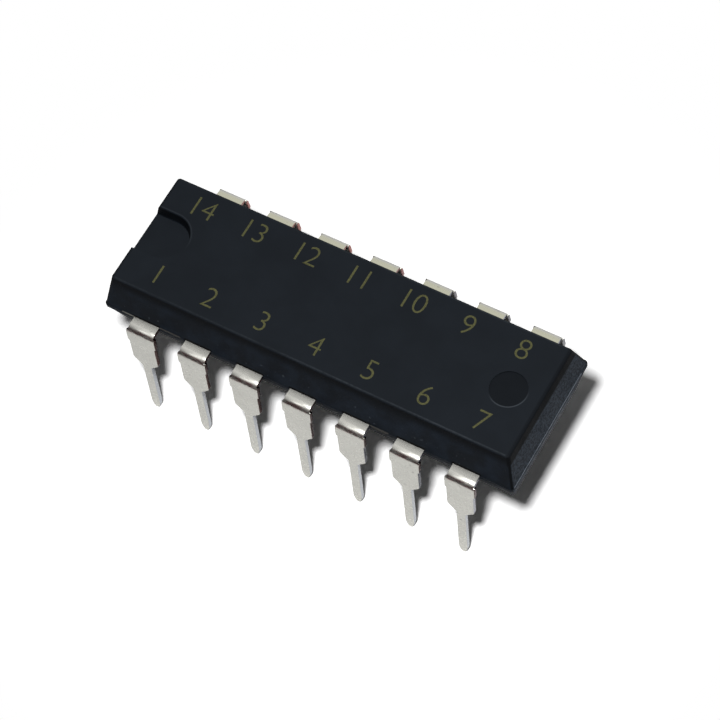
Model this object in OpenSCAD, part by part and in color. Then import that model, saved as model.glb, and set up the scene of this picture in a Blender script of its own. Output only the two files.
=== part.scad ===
// Dual in-line package of fourteen leads, in millimetres.
// X runs along the package with the notched end at -X, Y runs across it, and Z is up.
// The origin is at the middle of the package, at the height of the lead tips.

/* [Moulded body] */
// Length of the body beyond the middle of the last lead of a row
end_l = 2.12; // [1.6:0.02:2.6]
// Width of the body at its parting line
body_w = 6.52; // [5.8:0.02:7]
// Thickness of the body
body_t = 3.5; // [2.8:0.02:4]
// Draft of the two long sides, in degrees from upright
side_draft = 18.2; // [5:0.2:26]
// Draft of the two ends, in degrees from upright
end_draft = 12; // [4:0.2:20]
// Radius of the edges round the top and the underside
edge_r = 0.12; // [0.04:0.01:0.25]
// Radius of the four corner edges
corner_r = 0.15; // [0.05:0.01:0.3]
// Ledge by which the parting band stands out from the drafted walls
ledge = 0.02; // [0.01:0.01:0.08]

/* [Mould marks] */
// Radius of the notch at the top face
notch_r = 1.1; // [0.6:0.05:1.4]
// Reach of the notch from the end of the top face to its far wall
notch_l = 2.08; // [1.6:0.02:3]
// Depth of the notch
notch_d = 0.48; // [0.2:0.02:0.8]
// Draft of the notch wall, in degrees from upright
notch_draft = 16; // [0:1:25]
// Diameter of the ejector pin marks
ejector_w = 1.58; // [1:0.02:2]
// Depth of the ejector pin marks
ejector_d = 0.06; // [0.02:0.01:0.15]
// Distance of the middle of each ejector pin mark from the end of the top face
ejector_in = 1.45; // [1.2:0.01:2]

/* [Leads] */
// Pitch of the leads
pitch = 2.54; // [2.4:0.01:2.6]
// Reach of each leg's mid-plane at the bend beyond the side of the body
lead_out = 0.54; // [0.4:0.01:0.9]
// Thickness of the lead frame
lead_t = 0.2; // [0.16:0.01:0.3]
// Inner radius of the bend
bend_r = 0.18; // [0.08:0.01:0.25]
// Outward lean of the legs, in degrees from upright
lean = 5.2; // [0:0.2:12]
// Width of the flat, the bend and the wide part of a leg
wide_w = 1.24; // [1:0.02:1.5]
// Stub of the cut dam bar on each side of a leg
dam_stub = 0.07; // [0.02:0.01:0.12]
// Turn of the bend above the dam bar stubs, in degrees
dam_turn = 50; // [20:5:60]
// Reach of the dam bar stub down the leg from the end of the bend
dam_l = 0.44; // [0.2:0.02:0.8]
// Width of the narrow pin of a leg
pin_w = 0.42; // [0.38:0.005:0.56]
// Drop of the sloping shoulders from the wide part to the pin
shoulder_h = 0.42; // [0.2:0.02:0.6]
// Radius of the outer corner of the shoulders
shoulder_r = 0.17; // [0.05:0.01:0.18]
// Radius of the fillet between the shoulders and the pin
fillet_r = 0.12; // [0.04:0.01:0.16]
// Length of the leg from the outer corner of its shoulders to its tip
pin_l = 3.6; // [2.9:0.05:4]
// Length of the two curved cuts that point the tip
tip_l = 0.5; // [0.3:0.05:0.8]
// Width of the blunt end of the tip
tip_w = 0.14; // [0.06:0.01:0.3]
// Gap from the underside of the body to the outer corner of the shoulders
standoff = 0.26; // [0.2:0.02:0.8]

/* [Lead frame in the body] */
// Length of the wide anchor of a lead inside the body
anchor_l = 0.75; // [0.7:0.01:0.9]
// Diameter of the hole in the anchor, through which the resin locks
lock_w = 0.36; // [0.2:0.02:0.5]
// Width of the fingers that run in towards the die
finger_w = 0.3; // [0.24:0.02:0.34]
// Gap between neighbouring pieces of the lead frame
frame_gap = 0.2; // [0.14:0.01:0.24]
// Length of the die paddle
paddle_l = 2.6; // [2.4:0.05:3]
// Width of the die paddle
paddle_w = 2.3; // [2.2:0.05:2.5]
// Width of the bars that tie the paddle to the frame
tie_w = 0.3; // [0.2:0.02:0.4]
// Cover of resin over the cut end of each tie bar
tie_cover = 0.1; // [0.05:0.01:0.3]

/* [Die and bond wires] */
// Length of the die
die_l = 1.8; // [1.6:0.05:2.2]
// Width of the die
die_w = 1.4; // [1.3:0.05:1.8]
// Thickness of the die
die_t = 0.28; // [0.2:0.01:0.4]
// Thickness of the adhesive under the die
attach_t = 0.03; // [0.02:0.005:0.05]
// Width of the adhesive that shows round the die
attach_rim = 0.08; // [0.02:0.01:0.12]
// Pitch of the bond pads
pad_pitch = 0.34; // [0.25:0.01:0.36]
// Distance of the bond pads from the edge of the die
pad_inset = 0.12; // [0.1:0.01:0.16]
// Diameter of the bond wires
wire_w = 0.033; // [0.02:0.001:0.04]
// Rise of a bond wire above its two feet
loop_h = 0.25; // [0.15:0.01:0.3]
// Diameter of the foot at each end of a bond wire
foot_w = 0.09; // [0.07:0.01:0.1]
// Height of the foot at each end of a bond wire
foot_h = 0.03; // [0.025:0.001:0.04]

/* [Hidden] */
row_count = 7;
lead_count = 2 * row_count;
middle = (row_count + 1) / 2;
lead_names = [for (n = [1:lead_count]) str("lead_", n)];
wire_names = [for (n = [1:lead_count]) str("bond_wire_", n)];

// Facets of a rounded edge or corner, and of a full circle
edge_steps = 4;
$fn = 48;
// Overshoot that lets a cut clear the face that it starts from
over = 0.5;

body_l = (row_count - 1) * pitch + 2 * end_l;

// Heights, from the lead tips up
half_h = body_t / 2;
frame_z = pin_l + standoff + half_h;
frame_top = frame_z + lead_t / 2;
frame_low = frame_z - lead_t / 2;
body_low = frame_z - half_h;
body_top = frame_z + half_h;
die_low = frame_top - die_t;
paddle_top = die_low - attach_t;
paddle_low = paddle_top - lead_t;

// The drafted walls run from the parting band to the top face, and down to the underside
wall_h = half_h - lead_t / 2;
face_x = body_l / 2 - ledge - wall_h * tan(end_draft);
face_y = body_w / 2 - ledge - wall_h * tan(side_draft);
ejector_x = face_x - ejector_in;

// The bend, and the leg laid flat below it
bend_out = bend_r + lead_t;
bend_y = body_w / 2 + lead_out + lead_t / 2 - bend_out;
bend_z = frame_top - bend_out;
dam_w = wide_w + 2 * dam_stub;
leg_l = (bend_z + bend_r * sin(lean)) / cos(lean);
shoulder_s = leg_l - pin_l / cos(lean);

// The fingers reach the paddle in lanes beside its tie bar, or straight across to its long side
anchor_y = body_w / 2 - anchor_l;
lane_pitch = finger_w + frame_gap;
lane_y = (tie_w + finger_w) / 2 + frame_gap;
end_x = paddle_l / 2 + frame_gap;
side_y = paddle_w / 2 + frame_gap;
side_pitch = lane_pitch + frame_gap;
stitch_back = 1.5 * foot_w;

// The tie bar steps down to the paddle over twice the drop
tie_end = body_l / 2 - tie_cover;
step_x = paddle_l / 2 + 2 * tie_w;
step_l = 2 * (frame_top - paddle_top);

function unit(v) = v / norm(v);
function left_of(v) = [-v[1], v[0]];
function reversed(list) = [for (i = [len(list) - 1:-1:0]) list[i]];
function mirrored_x(list) = [for (p = reversed(list)) [-p[0], p[1]]];
function mirrored_y(list) = [for (p = reversed(list)) [p[0], -p[1]]];

// The points of an arc about c with radius r, from angle a to angle b
function arc(c, r, a, b) =
    [for (i = [0:edge_steps]) let (t = a + (b - a) * i / edge_steps) c + r * [cos(t), sin(t)]];

// A path moved to its left by d, with its corners mitred
function beside(path, d) =
    [for (i = [0:len(path) - 1])
        let (i0 = max(i - 1, 0),
             i1 = min(i, len(path) - 2),
             a = left_of(unit(path[i0 + 1] - path[i0])),
             b = left_of(unit(path[i1 + 1] - path[i1])),
             m = unit(a + b))
        path[i] + m * d / (m * a)];

// The near-side lead of rank k: its place along the row, and how far it is from the middle one
function rank_x(k) = (k - middle) * pitch;
function rank_of(k) = abs(k - middle);
function lane_of(k) = -(lane_y + (middle - 1 - rank_of(k)) * lane_pitch);

// The finger's path in plan, from the middle of its anchor to its tip by the paddle
function finger_path(k) =
    let (x = rank_x(k),
         root = [[x, -anchor_y - anchor_l / 2], [x, -anchor_y]],
         tip_x = (k - middle) * side_pitch,
         lane = lane_of(k))
    rank_of(k) == 0 ? [root[0], [x, -side_y]]
    : rank_of(k) == 1 ? concat(root, [[tip_x, -side_y - finger_w], [tip_x, -side_y]])
    : concat(root, [[x - sign(x) * (anchor_y + lane), lane], [sign(x) * end_x, lane]]);

// Where the wire of rank k leaves the die, and where it lands on the finger
function pad_at(k) =
    rank_of(k) > 1
    ? [sign(rank_x(k)) * (die_l / 2 - pad_inset), -pad_pitch * (middle - rank_of(k) - 0.5)]
    : [(k - middle) * pad_pitch, pad_inset - die_w / 2];
function stitch_at(k) =
    let (path = finger_path(k), last = len(path) - 1)
    path[last] + unit(path[last - 1] - path[last]) * stitch_back;

// Half width of a rectangle with rounded corners towards direction t, from its half sizes
function half_width(x, y, t) =
    (x - corner_r) * abs(cos(t)) + (y - corner_r) * abs(sin(t)) + corner_r;

// The block's upright section towards direction t: the parting band, its ledge,
// the drafted wall and the rounded edge, above and below the frame
module section(t) {
    band = half_width(body_l / 2, body_w / 2, t);
    foot = half_width(body_l / 2 - ledge, body_w / 2 - ledge, t);
    face = half_width(face_x, face_y, t);
    draft = atan((foot - face) / wall_h);
    inset = edge_r * tan((90 - draft) / 2);
    half = concat([[band, lead_t / 2], [foot, lead_t / 2]],
                  arc([face - inset, half_h - edge_r], edge_r, draft, 90));
    upper = concat(half, mirrored_x(half));
    polygon(concat(upper, mirrored_y(upper)));
}

// The full block of resin: sections towards the sides, the ends and the rounded corners
module block() {
    span = norm([body_l, body_w]) + 2 * over;
    translate([0, 0, frame_z])
        intersection_for (t = [0:90 / edge_steps:179])
            rotate([90, 0, t])
                linear_extrude(span, center = true) section(t);
}

// The notch is a drafted slot with a half-round inner end
module notch() {
    floor_r = notch_r - notch_d * tan(notch_draft);
    rim_r = notch_r + over * tan(notch_draft);
    cut_h = notch_d + over;
    slot_l = notch_l - notch_r + body_l / 2 - face_x + over;
    translate([notch_l - notch_r - face_x, 0, body_top - notch_d]) {
        rotate([0, 0, -90])
            rotate_extrude(angle = 180)
                polygon([[0, 0], [floor_r, 0], [rim_r, cut_h], [0, cut_h]]);
        translate([-slot_l, 0, 0])
            rotate([90, 0, 90])
                linear_extrude(slot_l)
                    polygon([[-floor_r, 0], [floor_r, 0], [rim_r, cut_h], [-rim_r, cut_h]]);
    }
}

// One mark on the top face, at the end away from the notch, and two on the underside
module ejector_marks() {
    translate([ejector_x, 0, body_top - ejector_d])
        cylinder(h = ejector_d + over, d = ejector_w);
    for (side = [-1, 1])
        translate([side * ejector_x, 0, body_low - over])
            cylinder(h = ejector_d + over, d = ejector_w);
}

// Leads 1 to 7 stand on the near side, and 8 to 14 are the same turned half round
module in_place(n) {
    rotate([0, 0, n > row_count ? 180 : 0])
        children();
}

function rank_in_row(n) = n > row_count ? n - row_count : n;

// The flat part of a lead: the anchor that runs out through the resin to the bend,
// and the finger from it to the paddle
module finger(k) {
    path = finger_path(k);
    difference() {
        translate([0, 0, frame_low])
            linear_extrude(lead_t)
                union() {
                    translate([rank_x(k) - wide_w / 2, -bend_y])
                        square([wide_w, bend_y - anchor_y]);
                    polygon(concat(beside(path, finger_w / 2),
                                   reversed(beside(path, -finger_w / 2))));
                }
        translate([rank_x(k), -anchor_y - anchor_l / 2, frame_low - over])
            cylinder(h = lead_t + 2 * over, d = lock_w);
    }
}

// The outline of a leg laid flat, from the end of the bend at zero down to the tip
module leg_outline() {
    half_w = wide_w / 2;
    half_p = pin_w / 2;
    turn = atan2(half_w - half_p, shoulder_h);
    corner = arc([half_w - shoulder_r, shoulder_r * tan(turn / 2) - shoulder_s],
                 shoulder_r, 0, -turn);
    fillet = arc([half_p + fillet_r, -shoulder_s - shoulder_h - fillet_r * tan(turn / 2)],
                 fillet_r, 180 - turn, 180);
    tip_turn = 2 * atan((half_p - tip_w / 2) / tip_l);
    tip_r = tip_l / sin(tip_turn);
    cut = arc([half_p - tip_r, tip_l - leg_l], tip_r, 0, -tip_turn);
    right = concat([[dam_w / 2, 0], [dam_w / 2, -dam_l], [half_w, -dam_l - dam_stub]],
                   corner, fillet, cut);
    polygon(concat(right, mirrored_x(right)));
}

// The part of the bend from one turn to its end, in degrees, with the given width
module bend_part(width, from) {
    translate([-width / 2, 0, 0])
        rotate([90, 0, 90])
            rotate([0, 0, 90 + from])
                rotate_extrude(angle = 90 - lean - from)
                    translate([bend_r, 0]) square([lead_t, width]);
}

module bend() {
    bend_part(wide_w, 0);
    bend_part(dam_w, dam_turn);
}

module leg() {
    rotate([90 - lean, 0, 0])
        translate([0, 0, bend_r])
            linear_extrude(lead_t) leg_outline();
}

module lead(n) {
    k = rank_in_row(n);
    color([0.72, 0.71, 0.67])
        in_place(n) {
            finger(k);
            translate([rank_x(k), -bend_y, bend_z]) {
                bend();
                leg();
            }
        }
}

// The paddle lies lower than the fingers, so that the top of the die is level with them
module paddle_shape() {
    translate([-paddle_l / 2, -paddle_w / 2, paddle_low]) cube([paddle_l, paddle_w, lead_t]);
    top_line = [[0, paddle_top], [step_x, paddle_top],
                [step_x + step_l, frame_top], [tie_end, frame_top]];
    low_line = [for (p = reversed(top_line)) p - [0, lead_t]];
    for (side = [0, 180])
        rotate([90, 0, side])
            linear_extrude(tie_w, center = true) polygon(concat(top_line, low_line));
}

module attach_shape() {
    l = die_l + 2 * attach_rim;
    w = die_w + 2 * attach_rim;
    translate([-l / 2, -w / 2, paddle_top]) cube([l, w, attach_t]);
}

module die_shape() {
    translate([-die_l / 2, -die_w / 2, die_low]) cube([die_l, die_w, die_t]);
}

// A wire is one arc between two flat feet, both level with the top of the frame
module wire_shape(n) {
    k = rank_in_row(n);
    a = pad_at(k);
    b = stitch_at(k);
    mid = (a + b) / 2;
    half = norm(b - a) / 2;
    radius = (half * half + loop_h * loop_h) / (2 * loop_h);
    turn = asin(half / radius);
    in_place(n) {
        for (foot = [a, b])
            translate([foot[0], foot[1], frame_top]) cylinder(h = foot_h, d = foot_w);
        translate([mid[0], mid[1], frame_top + foot_h / 2 + loop_h - radius])
            rotate([90, 0, atan2(b[1] - a[1], b[0] - a[0])])
                rotate([0, 0, 90 - turn])
                    rotate_extrude(angle = 2 * turn)
                        translate([radius, 0]) circle(d = wire_w);
    }
}

// The resin fills all the room that the frame, the die and the wires leave
module body() {
    color([0.13, 0.14, 0.16])
        difference() {
            block();
            notch();
            ejector_marks();
            for (n = [1:lead_count]) in_place(n) finger(rank_in_row(n));
            paddle_shape();
            attach_shape();
            die_shape();
            for (n = [1:lead_count]) wire_shape(n);
        }
}

module die_paddle() {
    color([0.72, 0.45, 0.30]) paddle_shape();
}

module die_attach() {
    color([0.80, 0.80, 0.82]) attach_shape();
}

module die() {
    color([0.35, 0.37, 0.42]) die_shape();
}

module bond_wire(n) {
    color([0.90, 0.72, 0.30]) wire_shape(n);
}

body();
die_paddle();
die_attach();
die();
for (n = [1:lead_count]) {
    lead(n);
    bond_wire(n);
}
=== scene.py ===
"""The looks of a dual in-line package of fourteen leads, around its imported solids, in millimetres."""

import math
import random

import bmesh
import bpy
from mathutils import Matrix, Vector


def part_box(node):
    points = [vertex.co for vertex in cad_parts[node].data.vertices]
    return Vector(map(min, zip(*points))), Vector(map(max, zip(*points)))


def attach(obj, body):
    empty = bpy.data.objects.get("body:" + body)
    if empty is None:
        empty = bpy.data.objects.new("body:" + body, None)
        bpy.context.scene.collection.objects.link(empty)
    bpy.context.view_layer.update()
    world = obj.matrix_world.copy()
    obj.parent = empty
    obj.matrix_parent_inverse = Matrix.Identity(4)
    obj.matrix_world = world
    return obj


MM = 0.001

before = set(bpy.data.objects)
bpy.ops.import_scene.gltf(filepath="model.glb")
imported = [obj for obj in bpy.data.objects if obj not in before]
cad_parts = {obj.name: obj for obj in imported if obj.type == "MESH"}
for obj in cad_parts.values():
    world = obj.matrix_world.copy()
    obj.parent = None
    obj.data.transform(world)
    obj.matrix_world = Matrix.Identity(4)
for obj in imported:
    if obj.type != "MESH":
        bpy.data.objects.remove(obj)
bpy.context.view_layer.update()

# Driving sizes of the package, and drafts in degrees
PITCH = 2.54
ROW_COUNT = 7
LEAD_T = 0.2
LEAD_W = 1.24
DAM_STUB = 0.07
LEDGE = 0.02
SIDE_DRAFT = 18.2
END_DRAFT = 12
NOTCH_R = 1.1
NOTCH_L = 2.08
MARK_R = 0.79
MARK_IN = 1.45

# The body's heights and edges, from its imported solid. The foot is where the upper walls meet the parting
# ledge, and the face is the flat top.
body_lo, body_hi = (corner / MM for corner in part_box("body"))
SIDE_SLOPE = math.tan(math.radians(SIDE_DRAFT))
END_SLOPE = math.tan(math.radians(END_DRAFT))
TOP_Z = body_hi.z
FOOT_Z = (body_lo.z + TOP_Z + LEAD_T) / 2
FOOT_X = body_hi.x - LEDGE
FOOT_Y = body_hi.y - LEDGE
FACE_X = FOOT_X - (TOP_Z - FOOT_Z) * END_SLOPE
FACE_Y = FOOT_Y - (TOP_Z - FOOT_Z) * SIDE_SLOPE
MARK_X = FACE_X - MARK_IN
NOTCH_X = NOTCH_L - NOTCH_R - FACE_X
ROW_END = ROW_COUNT / 2 * PITCH

# Heights above the foot: the chips, and the painted contact shadows over the leads
CHIP_RISE = (0.05, 0.7)
GAP_SHADOW_RISE = (-0.02, 0.1)
# Depths below the top: the notch's walls in painted shade, and where the painted shade under the long top
# edges and the painted dark bands of the end walls fade out
NOTCH_SHADE_DEPTH = (0.05, 0.42)
UNDER_EDGE_SHADE_FADE = (0.14, 0.6)
END_EDGE_SHADE_FADE = (0.4, 0.52)
# Distances outward: the painted highlight lines from the sides of the face, and the painted lit rims from
# their rounds
EDGE_HIGHLIGHT_BAND = (-0.075, -0.02)
MARK_RIM = (0, 0.05)
NOTCH_RIM = (0.02, 0.07)
# The direction of the mould mark's lit rim, in degrees from the right towards the near side
MARK_RIM_TURN = 60
# No mark of the notch lies to the right of this
NOTCH_END = -6

# Heights on the leads: the shoulders, and the cut ends of the dam bars
SHOULDER_Z = 3.25
CUT_Z = (4.88, 5.58)
# The turn of the bend, in radians, over which a pink reflection is painted
REFLECTION_TURN = (0.62, 1.12)
# Small dark dots in the near leads: place (x, z) and radius
TIN_DOTS = [((5.47, 4.77), 0.06), ((-5.25, 5.0), 0.05), ((-5.33, 4.22), 0.05), ((7.6, 2.68), 0.07)]

# Colours as they look in plain light, in sRGB values up to 255
RESIN = (29, 33, 38)
# The sides' colour holds painted shade, and the ends' colour a painted sheen on top of their rougher, paler
# finish
RESIN_SIDE_SHADED = (24, 29, 36)
RESIN_END_ROUGH_AND_LIT = (50, 56, 64)
# The mould mark's darker floor, and painted shade under the long edges, on the end edges and on the notch's
# walls
RESIN_DARK_AND_SHADE = (9, 11, 14)
# The pale chips, and the painted highlights on the long edges and on the rims of the mould mark and the notch
RESIN_CHIP_AND_HIGHLIGHT = (92, 99, 106)
# Near black, for the painted contact shadow over each lead
LEAD_GAP_SHADOW = (3, 3, 4)
FLASH = (104, 110, 118)
# Lit and shaded copies of the flash's colour: painted light and painted shade
FLASH_LIT = (84, 84, 80)
FLASH_SHADED = (50, 49, 47)
TIN = (205, 204, 197)
# Paler tin for the upward flats: painted light
TIN_FLAT_LIT = (213, 212, 205)
TIN_FLAT_FAR_LIT = (206, 205, 184)
TIN_SPOT = (130, 128, 122)
TIN_DOT = (110, 108, 104)
# The pink of a painted reflection on the bends
TIN_PAINTED_REFLECTION = (140, 104, 104)
# The punched sides' colours, which hold painted shade and reflection
PUNCHED_SHADE_RED = (84, 46, 40)
PUNCHED_SHADE_PINK = (168, 128, 120)
PUNCHED_SHADE_GREY = (148, 150, 160)
PIN_SIDE = (186, 190, 195)
# Shaded and lit copies of the cut copper: painted shade and painted light
CUT_COPPER_SHADED = (60, 25, 19)
CUT_COPPER_LIT = (176, 112, 104)
CUT_GREY_REFLECTION = (118, 118, 124)
COPPER = (176, 112, 84)
SILVER = (200, 200, 203)
SILICON = (96, 100, 112)
GOLD = (232, 190, 96)
INK = (94, 94, 62)

# The lead numbers: height, distance of their rows from the middle, and how far the ink stands proud
NUMBER_H = 0.95
NUMBER_Y = 1.78
INK_T = 0.004
# The height of a digit as a share of the text's size, and how much its strokes are thinned
DIGIT_SHARE = 0.7
STROKE_THINNED = 0.02

# The flash: its outer faces, the length of its steps, and how rough its outer faces are
FLASH_END_X = body_hi.x - 0.002
FLASH_NEAR_Y = body_lo.y - 0.01
FLASH_STEP = 0.07
FLASH_ROUGH = 0.008
# Its strips: start and end along the wall, upper and lower edge from the foot, thickness, and raggedness
FLASH_END = ((-3.1, 2.65), (0.005, -0.31), 0.12, 0.02)
FLASH_NEAR = [((-8.84, -8.25), (0.03, -0.01), 0.1, 0.005),
              ((-6.98, -5.93), (0.04, 0), 0.1, 0.005),
              ((3.2, 4.05), (0.03, -0.14), 0.1, 0.02)]

# The softened edges of the leads: their width, and the angles in degrees up to which faces are flat and from
# which edges are sharp. Points closer than the weld gap are one.
EDGE_W = 0.02
FLAT_TURN = 1
SHARP_TURN = 35
WELD_GAP = 0.001

# The camera: where its middle ray meets the top face, and its angles in degrees, distance, lens and sensor
AIM = Vector((1.94, -1.505, 7.36))
AZIMUTH = 41.58
ELEVATION = 60.91
ROLL = -13.46
DISTANCE = 101.43
LENS = 126
SENSOR = 36

# The key lamp: its power, its width, and its shift right and up as shares of the camera's distance
KEY_POWER = 0.4
KEY_WIDTH = 11
KEY_SHIFT = (-0.105, 0.125)
# The sky's tones as metal reflects them, and the share of them that lights other surfaces
SKY_LOW = 0.1
SKY_HIGH = 0.82
SKY_FILL = 0.068
# The soft box in the sky: its direction, brightness, half width and soft edge in degrees
BOX_AIM = Vector((-0.323, -0.521, 0.79)).normalized()
BOX_GLOW = 1.1
BOX_WIDTH = 8
BOX_EDGE = 4
# The floor: its radius, the radii between which it fades to white, its tone, and its tone to the camera
FLOOR_R = 30
FLOOR_FADE = (12, 20)
FLOOR_WHITE = 0.95
FLOOR_SEEN = 1.48


def linear(colour):
    """A linear RGBA colour from sRGB values up to 255."""
    return [((c / 255 + 0.055) / 1.055) ** 2.4 if c > 10 else c / 3294 for c in colour] + [1.0]


def shade(colour, factor):
    """The linear colour of an sRGB colour that is made lighter or darker."""
    return linear([c * factor for c in colour])


class Nodes:
    """A node tree, with short ways to add and join nodes. A share is a number from 0 to 1."""

    def __init__(self, tree):
        self.tree = tree

    def add(self, kind, **settings):
        node = self.tree.nodes.new(kind)
        for key, value in settings.items():
            setattr(node, key, value)
        return node

    def join(self, source, target):
        self.tree.links.new(source, target)

    def feed(self, value, target):
        """Joins a socket, or sets a plain value."""
        if isinstance(value, bpy.types.NodeSocket):
            self.join(value, target)
        else:
            target.default_value = value

    def split(self, vector):
        node = self.add("ShaderNodeSeparateXYZ")
        self.join(vector, node.inputs[0])
        return node.outputs

    def math(self, operation, *values):
        node = self.add("ShaderNodeMath", operation=operation)
        for socket, value in zip(node.inputs, values):
            self.feed(value, socket)
        return node.outputs[0]

    def plus(self, a, b):
        return self.math("ADD", a, b)

    def minus(self, a, b):
        return self.math("SUBTRACT", a, b)

    def larger(self, a, b):
        return self.math("MAXIMUM", a, b)

    def size(self, value):
        return self.math("ABSOLUTE", value)

    def product(self, first, *others):
        """The product of values, which for shares means where all of them hold."""
        for value in others:
            first = self.math("MULTIPLY", first, value)
        return first

    def distance(self, a, b):
        """The distance that a and b give as the sides of a right angle."""
        return self.math("SQRT", self.plus(self.product(a, a), self.product(b, b)))

    def ramp(self, value, low, high, out_low=0.0, out_high=1.0):
        """Maps value from low..high smoothly to out_low..out_high."""
        node = self.add("ShaderNodeMapRange", interpolation_type="SMOOTHSTEP")
        for socket, setting in zip(node.inputs, (value, low, high, out_low, out_high)):
            self.feed(setting, socket)
        return node.outputs[0]

    def inside(self, value, low, high, soft):
        """1 where value lies between low and high, with soft ends."""
        above = self.ramp(value, low - soft, low + soft)
        return self.product(above, self.ramp(value, high - soft, high + soft, 1.0, 0.0))

    def blend(self, share, a, b):
        """The number a turned to b by share."""
        node = self.add("ShaderNodeMix")
        for index, value in ((0, share), (2, a), (3, b)):
            self.feed(value, node.inputs[index])
        return node.outputs[0]


class Look(Nodes):
    """A material, with the place of a point in millimetres and the direction in which its surface faces."""

    def __init__(self, name):
        self.material = bpy.data.materials.new(name)
        self.material.use_nodes = True
        super().__init__(self.material.node_tree)
        self.shader = self.tree.nodes["Principled BSDF"]
        coordinates = self.add("ShaderNodeTexCoord").outputs
        scale = self.add("ShaderNodeVectorMath", operation="SCALE")
        scale.inputs["Scale"].default_value = 1 / MM
        self.join(coordinates["Object"], scale.inputs[0])
        self.place = scale.outputs[0]
        self.x, self.y, self.z = self.split(self.place)
        self.facing_x, self.facing_y, self.facing_z = self.split(coordinates["Normal"])

    def noise(self, scale, detail=3.0, roughness=0.55, stretch=None):
        """Noise with features of 1 / scale mm, which stretch makes finer along each axis."""
        node = self.add("ShaderNodeTexNoise")
        for name, value in (("Scale", scale), ("Detail", detail), ("Roughness", roughness)):
            node.inputs[name].default_value = value
        place = self.place
        if stretch:
            mapping = self.add("ShaderNodeMapping")
            mapping.inputs["Scale"].default_value = stretch
            self.join(place, mapping.inputs[0])
            place = mapping.outputs[0]
        self.join(place, node.inputs["Vector"])
        return node.outputs["Fac"]

    def mix(self, share, a, b):
        """The colour a turned to b by share."""
        node = self.add("ShaderNodeMix", data_type="RGBA")
        for index, value in ((0, share), (6, a), (7, b)):
            self.feed(value, node.inputs[index])
        return node.outputs[2]

    def paint(self, colour, tint, *shares):
        """The colour turned to a tint in sRGB by the product of shares."""
        return self.mix(self.product(*shares), colour, linear(tint))

    def from_lead(self):
        """The distance along the row from the middle of the nearest lead."""
        return self.size(self.math("WRAP", self.x, PITCH / 2, -PITCH / 2))

    def bump(self, height, distance, strength):
        node = self.add("ShaderNodeBump")
        node.inputs["Distance"].default_value = distance * MM
        node.inputs["Strength"].default_value = strength
        self.join(height, node.inputs["Height"])
        self.join(node.outputs[0], self.shader.inputs["Normal"])

    def set(self, sockets):
        """Sets or joins sockets of the shader by their names."""
        for name, value in sockets.items():
            self.feed(value, self.shader.inputs[name])


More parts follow.
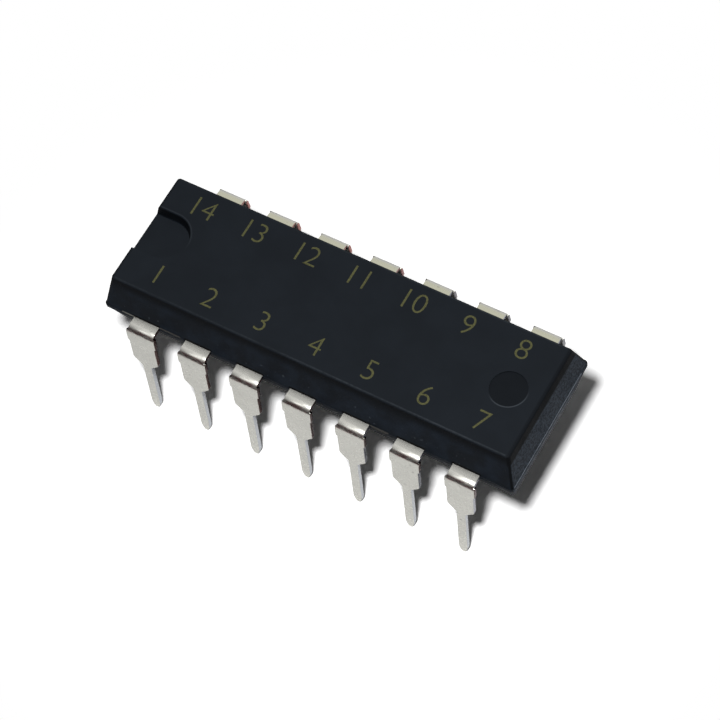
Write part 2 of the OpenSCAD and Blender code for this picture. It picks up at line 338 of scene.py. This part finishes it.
class ResinLook(Look):
    """The resin's look: the tones of its walls, the marks that its mould and handling leave, and the light
    and shade painted on its edges, notch and lead gaps.
    """

    def __init__(self):
        super().__init__("resin")
        self.from_middle_x = self.size(self.x)
        self.from_middle_y = self.size(self.y)
        self.depth = self.minus(TOP_Z, self.z)
        self.rise = self.minus(self.z, FOOT_Z)
        self.upper = self.ramp(self.rise, -0.02, 0.02)
        self.on_end = self.ramp(self.size(self.facing_x), 0.75, 0.95)
        self.on_side = self.ramp(self.size(self.facing_y), 0.7, 0.9)
        self.patches = self.noise(1.1, 4)

    def walls(self):
        """Even top and underside, bluish patchy sides darkened by painted shade, and speckled ends made paler
        by a painted sheen as well as their rougher finish.
        """
        clouds = self.ramp(self.noise(0.5), 0.3, 0.7)
        colour = self.mix(clouds, shade(RESIN, 0.95), shade(RESIN, 1.05))
        patchy = self.ramp(self.patches, 0.35, 0.68)
        # Painted shade darkens the sides
        side = self.mix(patchy, shade(RESIN_SIDE_SHADED, 0.82), shade(RESIN_SIDE_SHADED, 1.2))
        speckles = self.ramp(self.noise(11, 4, 0.7), 0.36, 0.64)
        # A painted sheen, together with the rougher finish, makes the ends paler
        end = self.mix(speckles, shade(RESIN_END_ROUGH_AND_LIT, 0.68), shade(RESIN_END_ROUGH_AND_LIT, 1.3))
        return self.mix(self.on_end, self.mix(self.on_side, colour, side), end)

    def chips(self, colour):
        """Small pale chips low on the sides."""
        chips = self.ramp(self.noise(5, 2), 0.66, 0.72)
        low = self.inside(self.rise, *CHIP_RISE, 0.1)
        return self.paint(colour, RESIN_CHIP_AND_HIGHLIGHT, chips, low, self.on_side, 0.22)

    def long_edges(self, colour):
        """Along the long top edges a painted highlight line, stronger towards the right, with a band of
        painted shade under it.
        """
        uneven = self.ramp(self.noise(0.5, 2), 0.35, 0.65, 0, 0.06)
        strength = self.plus(self.ramp(self.x, -4, 5, 0.03, 0.12), uneven)
        broken = self.ramp(self.noise(6, 2), 0.35, 0.6, 0.55, 1.15)
        # A painted highlight along each long top edge
        line = self.inside(self.minus(self.from_middle_y, FACE_Y), *EDGE_HIGHLIGHT_BAND, 0.02)
        on_top = self.ramp(self.depth, 0.1, 0.06)
        within = self.ramp(self.from_middle_x, FACE_X - 0.16, FACE_X - 0.2)
        colour = self.paint(colour, RESIN_CHIP_AND_HIGHLIGHT, line, on_top, within, strength, broken)
        # Painted shade in a band under the edge
        under_edge_shade = self.product(self.ramp(self.depth, 0.04, 0.1), self.ramp(self.depth, *UNDER_EDGE_SHADE_FADE, 1, 0))
        return self.paint(colour, RESIN_DARK_AND_SHADE, under_edge_shade, self.on_side, self.upper, 0.9)

    def from_wall(self, from_middle, foot, slope):
        """The distance from an upper wall, which stands at its foot and leans inward by its slope."""
        return self.minus(self.minus(foot, from_middle), self.product(self.rise, slope))

    def end_edges(self, colour):
        """Painted shade along the top edges of the end walls and down the upright corners."""
        to_end = self.from_wall(self.from_middle_x, FOOT_X, END_SLOPE)
        to_side = self.from_wall(self.from_middle_y, FOOT_Y, SIDE_SLOPE)
        band = self.product(self.ramp(self.depth, *END_EDGE_SHADE_FADE, 1, 0), self.ramp(to_end, 0.16, 0.08))
        past_face = self.ramp(self.minus(self.from_middle_x, FACE_X), -0.08, 0.02)
        brink = self.product(past_face, self.ramp(self.depth, 0.12, 0.08), 0.45)
        corner = self.product(self.ramp(to_end, 0.11, 0.06), self.ramp(to_side, 0.13, 0.06), self.upper)
        # All of these marks are painted shade
        dark = self.larger(self.larger(band, brink), corner)
        return self.paint(colour, RESIN_DARK_AND_SHADE, dark, self.ramp(self.facing_z, 0.25, 0.9, 1, 0.45))

    def lead_gaps(self, colour):
        """A painted contact shadow over each lead, where it leaves the resin."""
        over_lead = self.ramp(self.from_lead(), LEAD_W / 2 + 0.06, LEAD_W / 2 + 0.02)
        low = self.inside(self.rise, *GAP_SHADOW_RISE, 0.02)
        outermost = self.ramp(self.from_middle_y, FOOT_Y - 0.12, FOOT_Y - 0.06)
        within = self.ramp(self.from_middle_x, ROW_END, ROW_END - 0.1)
        return self.paint(colour, LEAD_GAP_SHADOW, over_lead, low, outermost, within)

    def mould_mark(self, colour):
        """The round mould mark on top: a darker floor, with a lit rim at its near right."""
        mark_x = self.minus(self.x, MARK_X)
        reach = self.distance(mark_x, self.y)
        on_top = self.ramp(self.depth, 0.12, 0.1)
        colour = self.paint(colour, RESIN_DARK_AND_SHADE, self.ramp(reach, MARK_R + 0.02, MARK_R - 0.02), on_top, 0.5)
        turn = math.radians(MARK_RIM_TURN)
        rightward = self.product(mark_x, math.cos(turn))
        near_right = self.minus(rightward, self.product(self.y, math.sin(turn)))
        rim = self.inside(self.minus(reach, MARK_R), *MARK_RIM, 0.02)
        return self.paint(colour, RESIN_CHIP_AND_HIGHLIGHT, rim, self.ramp(near_right, 0.1, 0.75), on_top, 0.38)

    def notch(self, colour):
        """The end notch: painted shade on its walls, and a faint painted highlight on the rim at its far
        side.
        """
        past_middle = self.larger(self.minus(self.x, NOTCH_X), 0)
        reach = self.distance(past_middle, self.y)
        at_notch = self.ramp(self.x, NOTCH_END, NOTCH_END - 0.5)
        # Painted shade on the notch's walls
        wall = self.inside(self.depth, *NOTCH_SHADE_DEPTH, 0.03)
        within = self.ramp(reach, NOTCH_R + 0.04, NOTCH_R)
        colour = self.paint(colour, RESIN_DARK_AND_SHADE, wall, within, at_notch, 0.8)
        # A faint painted highlight on the far rim
        rim = self.inside(self.minus(reach, NOTCH_R), *NOTCH_RIM, 0.02)
        on_top = self.ramp(self.depth, 0.04, 0.02)
        return self.paint(colour, RESIN_CHIP_AND_HIGHLIGHT, rim, on_top, self.ramp(self.y, -0.4, 0.6), at_notch, 0.12)

    def grain(self):
        """A fine grain, rougher on the ends and sides, with pits in the sides."""
        rough = self.larger(self.on_end, self.product(self.on_side, 0.5))
        grain = self.product(self.noise(26, 2), self.ramp(rough, 0, 1, 0.35, 1.3))
        pits = self.product(self.ramp(self.noise(7, 2), 0.3, 0.36), self.on_side, 0.8)
        self.bump(self.plus(grain, pits), 0.014, 0.6)


def resin():
    """Matt moulded epoxy."""
    look = ResinLook()
    colour = look.walls()
    for mark in (look.chips, look.long_edges, look.end_edges, look.lead_gaps, look.mould_mark, look.notch):
        colour = mark(colour)
    roughness = look.ramp(look.patches, 0.3, 0.7, 0.55, 0.68)
    look.set({"Base Color": colour, "Roughness": roughness, "Specular IOR Level": 0.05})
    look.grain()
    return look.material


def flash(name, colour):
    """Thin broken resin, paler than the body, with a painted highlight along its upper edge."""
    look = Look(name)
    tone = look.mix(look.ramp(look.noise(18), 0.3, 0.7), shade(colour, 0.84), shade(colour, 1.08))
    # A painted highlight along the upper edge
    tone = look.mix(look.ramp(look.z, FOOT_Z - 0.1, FOOT_Z - 0.02), tone, shade(colour, 1.2))
    look.set({"Base Color": tone, "Roughness": 0.7, "Specular IOR Level": 0.15})
    look.bump(look.noise(22), 0.012, 0.7)
    return look.material


class TinLook(Look):
    """The tinned leads' look: the plate itself, its punched sides and cuts, and the light, shade and
    reflections painted on its flats, bends, sides and cuts.
    """

    def __init__(self):
        super().__init__("tin")
        self.far = self.ramp(self.y, -1, 1)
        self.sideways = self.size(self.facing_x)

    def plate(self):
        """Dull tin, with the upward flats beside the body made paler by painted light; they are greener in
        the far row.
        """
        colour = self.mix(self.ramp(self.noise(1.6, 4), 0.3, 0.7), shade(TIN, 0.975), linear(TIN))
        # Painted light on the upward flats
        flat = self.mix(self.far, linear(TIN_FLAT_LIT), linear(TIN_FLAT_FAR_LIT))
        return self.mix(self.ramp(self.facing_z, 0.8, 0.98), colour, flat)

    def spots(self, colour):
        """Faint spots all over, and the dots of the near leads."""
        colour = self.paint(colour, TIN_SPOT, self.ramp(self.noise(4.5, 1), 0.74, 0.77), 0.3)
        for (x, z), radius in TIN_DOTS:
            aside = self.distance(self.minus(self.x, x), self.minus(self.z, z))
            dot = self.ramp(aside, radius, radius / 2)
            colour = self.paint(colour, TIN_DOT, dot, self.ramp(self.facing_y, -0.5, -0.7), 0.5)
        return colour

    def streaks(self, colour):
        """A painted reflection of the dark low sky: pink and streaky, on the near bends only."""
        turn = self.math("ARCTAN2", self.size(self.facing_y), self.larger(self.facing_z, 0.02))
        streaks = self.ramp(self.noise(4, 4, stretch=(1, 3, 3)), 0.4, 0.58)
        # Painted reflection at a fixed turn of the bend
        bend = self.product(self.inside(turn, *REFLECTION_TURN, 0.1), self.ramp(self.sideways, 0.4, 0.3))
        near = self.ramp(self.y, 1, -1)
        return self.paint(colour, TIN_PAINTED_REFLECTION, bend, near, self.ramp(streaks, 0, 1, 0.2, 0.85))

    def punched_sides(self, colour):
        """Dull punched sides, with painted shade and reflection: dark red in the near row and pink in the far
        row towards the left, grey towards the right above the shoulders, and pale bluish grey below them.
        """
        # Painted shade and reflection on the sides
        left = self.mix(self.far, linear(PUNCHED_SHADE_RED), linear(PUNCHED_SHADE_PINK))
        side = self.mix(self.ramp(self.x, 0, 3), left, linear(PUNCHED_SHADE_GREY))
        above = self.ramp(self.z, SHOULDER_Z - 0.05, SHOULDER_Z + 0.05)
        side = self.mix(above, linear(PIN_SIDE), side)
        return self.mix(self.ramp(self.sideways, 0.75, 0.92), colour, side)

    def dam_cuts(self, colour):
        """Bare copper where the dam bars were cut: in painted shade in the near row, and lit in the far row,
        from pink at the left to a painted grey reflection at the right.
        """
        stub_end = LEAD_W / 2 + DAM_STUB
        cut_face = self.ramp(self.from_lead(), stub_end - 0.025, stub_end - 0.01)
        cut = self.product(cut_face, self.inside(self.z, *CUT_Z, 0.03), self.ramp(self.sideways, 0.5, 0.8))
        # The far row's cuts carry painted light
        lit_cut = self.mix(self.ramp(self.x, -1, 4), linear(CUT_COPPER_LIT), linear(CUT_GREY_REFLECTION))
        return self.mix(cut, colour, self.mix(self.far, linear(CUT_COPPER_SHADED), lit_cut))


def tin():
    """Dull tin plate over copper."""
    look = TinLook()
    colour = look.plate()
    for mark in (look.spots, look.streaks, look.punched_sides, look.dam_cuts):
        colour = mark(colour)
    roughness = look.ramp(look.noise(5), 0.3, 0.7, 0.22, 0.3)
    look.set({"Base Color": colour, "Roughness": roughness, "Metallic": 1.0})
    look.bump(look.plus(look.noise(14), look.noise(2.2, 2, stretch=(1, 1, 0.5))), 0.002, 0.15)
    return look.material


def plain_metal(name, colour, roughness):
    """A metal with a slightly uneven tone and sheen."""
    look = Look(name)
    tone = look.mix(look.ramp(look.noise(5), 0.3, 0.7), shade(colour, 0.85), linear(colour))
    sheen = look.ramp(look.noise(20, 2), 0.3, 0.7, roughness, roughness + 0.15)
    look.set({"Base Color": tone, "Roughness": sheen, "Metallic": 1.0})
    return look.material


def ink():
    """Printed ink with a slightly uneven tone."""
    look = Look("ink")
    tone = look.mix(look.ramp(look.noise(16), 0.35, 0.6), shade(INK, 0.8), linear(INK))
    look.set({"Base Color": tone, "Roughness": 0.6, "Specular IOR Level": 0.1})
    return look.material


def new_piece(name, shape, material):
    """An object made of a bmesh, which is freed."""
    mesh = bpy.data.meshes.new(name)
    shape.to_mesh(mesh)
    shape.free()
    mesh.materials.append(material)
    piece = bpy.data.objects.new(name, mesh)
    bpy.context.scene.collection.objects.link(piece)
    return piece


def dress(names, material):
    """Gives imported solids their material."""
    for name in names:
        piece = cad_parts[name]
        piece.data.materials.clear()
        piece.data.materials.append(material)


def smooth_group():
    """A node group that shades every face smooth."""
    group = bpy.data.node_groups.new("shade_smooth", "GeometryNodeTree")
    for in_out in ("INPUT", "OUTPUT"):
        group.interface.new_socket("Geometry", in_out=in_out, socket_type="NodeSocketGeometry")
    start, smooth, end = (group.nodes.new(kind) for kind in (
        "NodeGroupInput", "GeometryNodeSetShadeSmooth", "NodeGroupOutput"))
    group.links.new(start.outputs[0], smooth.inputs["Geometry"])
    group.links.new(smooth.outputs[0], end.inputs[0])
    return group


def soften(names):
    """Rounds the stamped edges of the leads a little."""
    group = smooth_group()
    for name in names:
        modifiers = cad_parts[name].modifiers
        weld = modifiers.new("weld", "WELD")
        weld.merge_threshold = WELD_GAP * MM
        planes = modifiers.new("planes", "DECIMATE")
        planes.decimate_type = "DISSOLVE"
        planes.angle_limit = math.radians(FLAT_TURN)
        modifiers.new("smooth", "NODES").node_group = group
        edges = modifiers.new("edges", "BEVEL")
        edges.width = EDGE_W * MM
        edges.segments = 2
        edges.limit_method = "ANGLE"
        edges.angle_limit = math.radians(SHARP_TURN)
        normals = modifiers.new("normals", "WEIGHTED_NORMAL")
        normals.weight = 90


def flash_strip(name, axis, face, strip, material, seed):
    """A closed strip of flash along an axis, whose outer face lies at a place across that axis."""
    draw = random.Random(seed)
    (start, end), edges, thick, ragged = strip
    high, low = (FOOT_Z + edge for edge in edges)
    steps = max(4, round((end - start) / FLASH_STEP))
    shape = bmesh.new()
    rings = []
    for i in range(steps + 1):
        along = start + (end - start) * i / steps
        taper = min(1.0, 4 * i / steps + 0.25, 4 * (steps - i) / steps + 0.25)
        bottom = high - (high - low) * taper + draw.uniform(-ragged, ragged) * taper
        outer = face - math.copysign(draw.uniform(0, FLASH_ROUGH), face)
        inner = face - math.copysign(thick, face)
        ring = []
        for across, z in ((outer, high), (outer, bottom), (inner, bottom), (inner, high)):
            place = (across, along, z) if axis == "y" else (along, across, z)
            ring.append(shape.verts.new([v * MM for v in place]))
        rings.append(ring)
    for here, following in zip(rings, rings[1:]):
        for j in range(4):
            k = (j + 1) % 4
            shape.faces.new((here[j], here[k], following[k], following[j]))
    shape.faces.new(rings[0][::-1])
    shape.faces.new(rings[-1])
    bmesh.ops.recalc_face_normals(shape, faces=shape.faces)
    piece = new_piece(name, shape, material)
    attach(piece, "root")


def add_flash():
    """The flash: a strip hanging from the ledge of the right end, and three short ones on the near side."""
    grey = flash("flash", FLASH)
    # The pale copy carries painted light, the dark copy painted shade
    pale = flash("flash_lit", FLASH_LIT)
    dark = flash("flash_shaded", FLASH_SHADED)
    flash_strip("flash_end", "y", FLASH_END_X, FLASH_END, grey, seed=3)
    for i, (strip, material) in enumerate(zip(FLASH_NEAR, (pale, dark, dark))):
        flash_strip(f"flash_near_{i + 1}", "x", FLASH_NEAR_Y, strip, material, seed=5 + 2 * i)


def number_mesh(number, x, y):
    """The mesh of a printed number whose middle lies at x, y on the top face."""
    text = bpy.data.curves.new("number", "FONT")
    text.body = str(number)
    text.size = NUMBER_H / DIGIT_SHARE * MM
    text.align_x = "CENTER"
    text.align_y = "CENTER"
    text.space_character = 0.95
    text.extrude = INK_T * MM
    text.offset = -STROKE_THINNED * MM
    text.resolution_u = 4
    holder = bpy.data.objects.new("number", text)
    bpy.context.scene.collection.objects.link(holder)
    drawn = holder.evaluated_get(bpy.context.evaluated_depsgraph_get())
    mesh = bpy.data.meshes.new_from_object(drawn)
    mesh.transform(Matrix.Translation(Vector((x, y, TOP_Z)) * MM))
    bpy.data.objects.remove(holder)
    return mesh


def add_numbers():
    """The number of each lead, printed beside it, to be read from the near side."""
    shape = bmesh.new()
    for i in range(2 * ROW_COUNT):
        near = i < ROW_COUNT
        column = i if near else 2 * ROW_COUNT - 1 - i
        x = (column - (ROW_COUNT - 1) / 2) * PITCH
        mesh = number_mesh(i + 1, x, -NUMBER_Y if near else NUMBER_Y)
        shape.from_mesh(mesh)
        bpy.data.meshes.remove(mesh)
    bmesh.ops.remove_doubles(shape, verts=shape.verts, dist=0.0005 * MM)
    piece = new_piece("lead_numbers", shape, ink())
    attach(piece, "root")


def add_floor():
    """A round floor under the lead tips. The camera sees it paler than other rays do, and fading to white."""
    look = Look("floor")
    camera_ray = look.add("ShaderNodeLightPath").outputs["Is Camera Ray"]
    tone = look.math("MULTIPLY_ADD", camera_ray, FLOOR_SEEN - FLOOR_WHITE, FLOOR_WHITE)
    look.set({"Base Color": tone, "Roughness": 0.9, "Specular IOR Level": 0.0})
    faded = look.product(camera_ray, look.ramp(look.distance(look.x, look.y), *FLOOR_FADE))
    white = look.add("ShaderNodeEmission").outputs[0]
    surface = look.add("ShaderNodeMixShader")
    for socket, source in zip(surface.inputs, (faded, look.shader.outputs[0], white)):
        look.join(source, socket)
    look.join(surface.outputs[0], look.tree.nodes["Material Output"].inputs["Surface"])
    shape = bmesh.new()
    bmesh.ops.create_circle(shape, cap_ends=True, segments=96, radius=FLOOR_R * MM)
    new_piece("floor", shape, look.material)


def camera_axes():
    """The camera's right, up and back directions."""
    azimuth, elevation, roll = (math.radians(angle) for angle in (AZIMUTH, ELEVATION, ROLL))
    level = math.cos(elevation)
    back = Vector((math.sin(azimuth) * level, -math.cos(azimuth) * level, math.sin(elevation)))
    flat = Vector((math.cos(azimuth), math.sin(azimuth), 0))
    right = math.cos(roll) * flat + math.sin(roll) * back.cross(flat)
    return right, back.cross(right), back


def add_camera():
    """The camera at the photograph's viewing angle."""
    data = bpy.data.cameras.new("camera")
    data.sensor_width = SENSOR
    data.lens = LENS
    data.clip_start = 1 * MM
    data.clip_end = 10
    piece = bpy.data.objects.new("camera", data)
    bpy.context.scene.collection.objects.link(piece)
    axes = camera_axes()
    place = (AIM + DISTANCE * axes[2]) * MM
    piece.matrix_world = Matrix.Translation(place) @ Matrix(axes).transposed().to_4x4()
    bpy.context.scene.camera = piece


def add_key():
    """A round key lamp beside the camera."""
    key = bpy.data.lights.new("key", "POINT")
    key.energy = KEY_POWER
    key.shadow_soft_size = KEY_WIDTH / 2 * MM
    piece = bpy.data.objects.new("key", key)
    bpy.context.scene.collection.objects.link(piece)
    right, up, back = camera_axes()
    piece.location = (AIM + DISTANCE * (back + KEY_SHIFT[0] * right + KEY_SHIFT[1] * up)) * MM


def add_sky():
    """A sky, dark low down at the front, with a soft box at the front left. The camera sees it white."""
    world = bpy.data.worlds.new("world")
    bpy.context.scene.world = world
    world.use_nodes = True
    nodes = Nodes(world.node_tree)
    unit = nodes.add("ShaderNodeVectorMath", operation="NORMALIZE")
    nodes.join(nodes.add("ShaderNodeTexCoord").outputs["Generated"], unit.inputs[0])
    direction = nodes.split(unit.outputs[0])
    low = nodes.ramp(direction[1], -0.3, 0.3, SKY_LOW, SKY_HIGH)
    sky = nodes.ramp(direction[2], 0.3, 1.0, low, SKY_HIGH)
    closeness = nodes.add("ShaderNodeVectorMath", operation="DOT_PRODUCT")
    nodes.join(unit.outputs[0], closeness.inputs[0])
    closeness.inputs[1].default_value = BOX_AIM
    edge = [math.cos(math.radians(BOX_WIDTH + turn)) for turn in (BOX_EDGE, -BOX_EDGE)]
    studio = nodes.plus(sky, nodes.ramp(closeness.outputs["Value"], *edge, 0.0, BOX_GLOW))
    path = nodes.add("ShaderNodeLightPath").outputs
    lit = nodes.blend(path["Is Glossy Ray"], nodes.product(studio, SKY_FILL), studio)
    in_view = nodes.larger(path["Is Camera Ray"], path["Is Transmission Ray"])
    background = nodes.tree.nodes["Background"]
    background.inputs["Color"].default_value = (1, 1, 1, 1)
    nodes.join(nodes.blend(in_view, lit, 1.0), background.inputs["Strength"])


def dress_part():
    """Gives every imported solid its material, and softens the leads."""
    leads = [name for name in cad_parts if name.startswith("lead_")]
    wires = [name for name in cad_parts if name.startswith("bond_wire_")]
    dress(["body"], resin())
    dress(leads, tin())
    dress(["die_paddle"], plain_metal("bare_copper", COPPER, 0.35))
    dress(["die_attach"], plain_metal("silver_adhesive", SILVER, 0.5))
    dress(["die"], plain_metal("silicon", SILICON, 0.2))
    dress(wires, plain_metal("gold", GOLD, 0.3))
    soften(leads)


dress_part()
add_flash()
add_numbers()
add_floor()
add_key()
add_sky()
add_camera()

bpy.context.scene.view_settings.view_transform = "Standard"
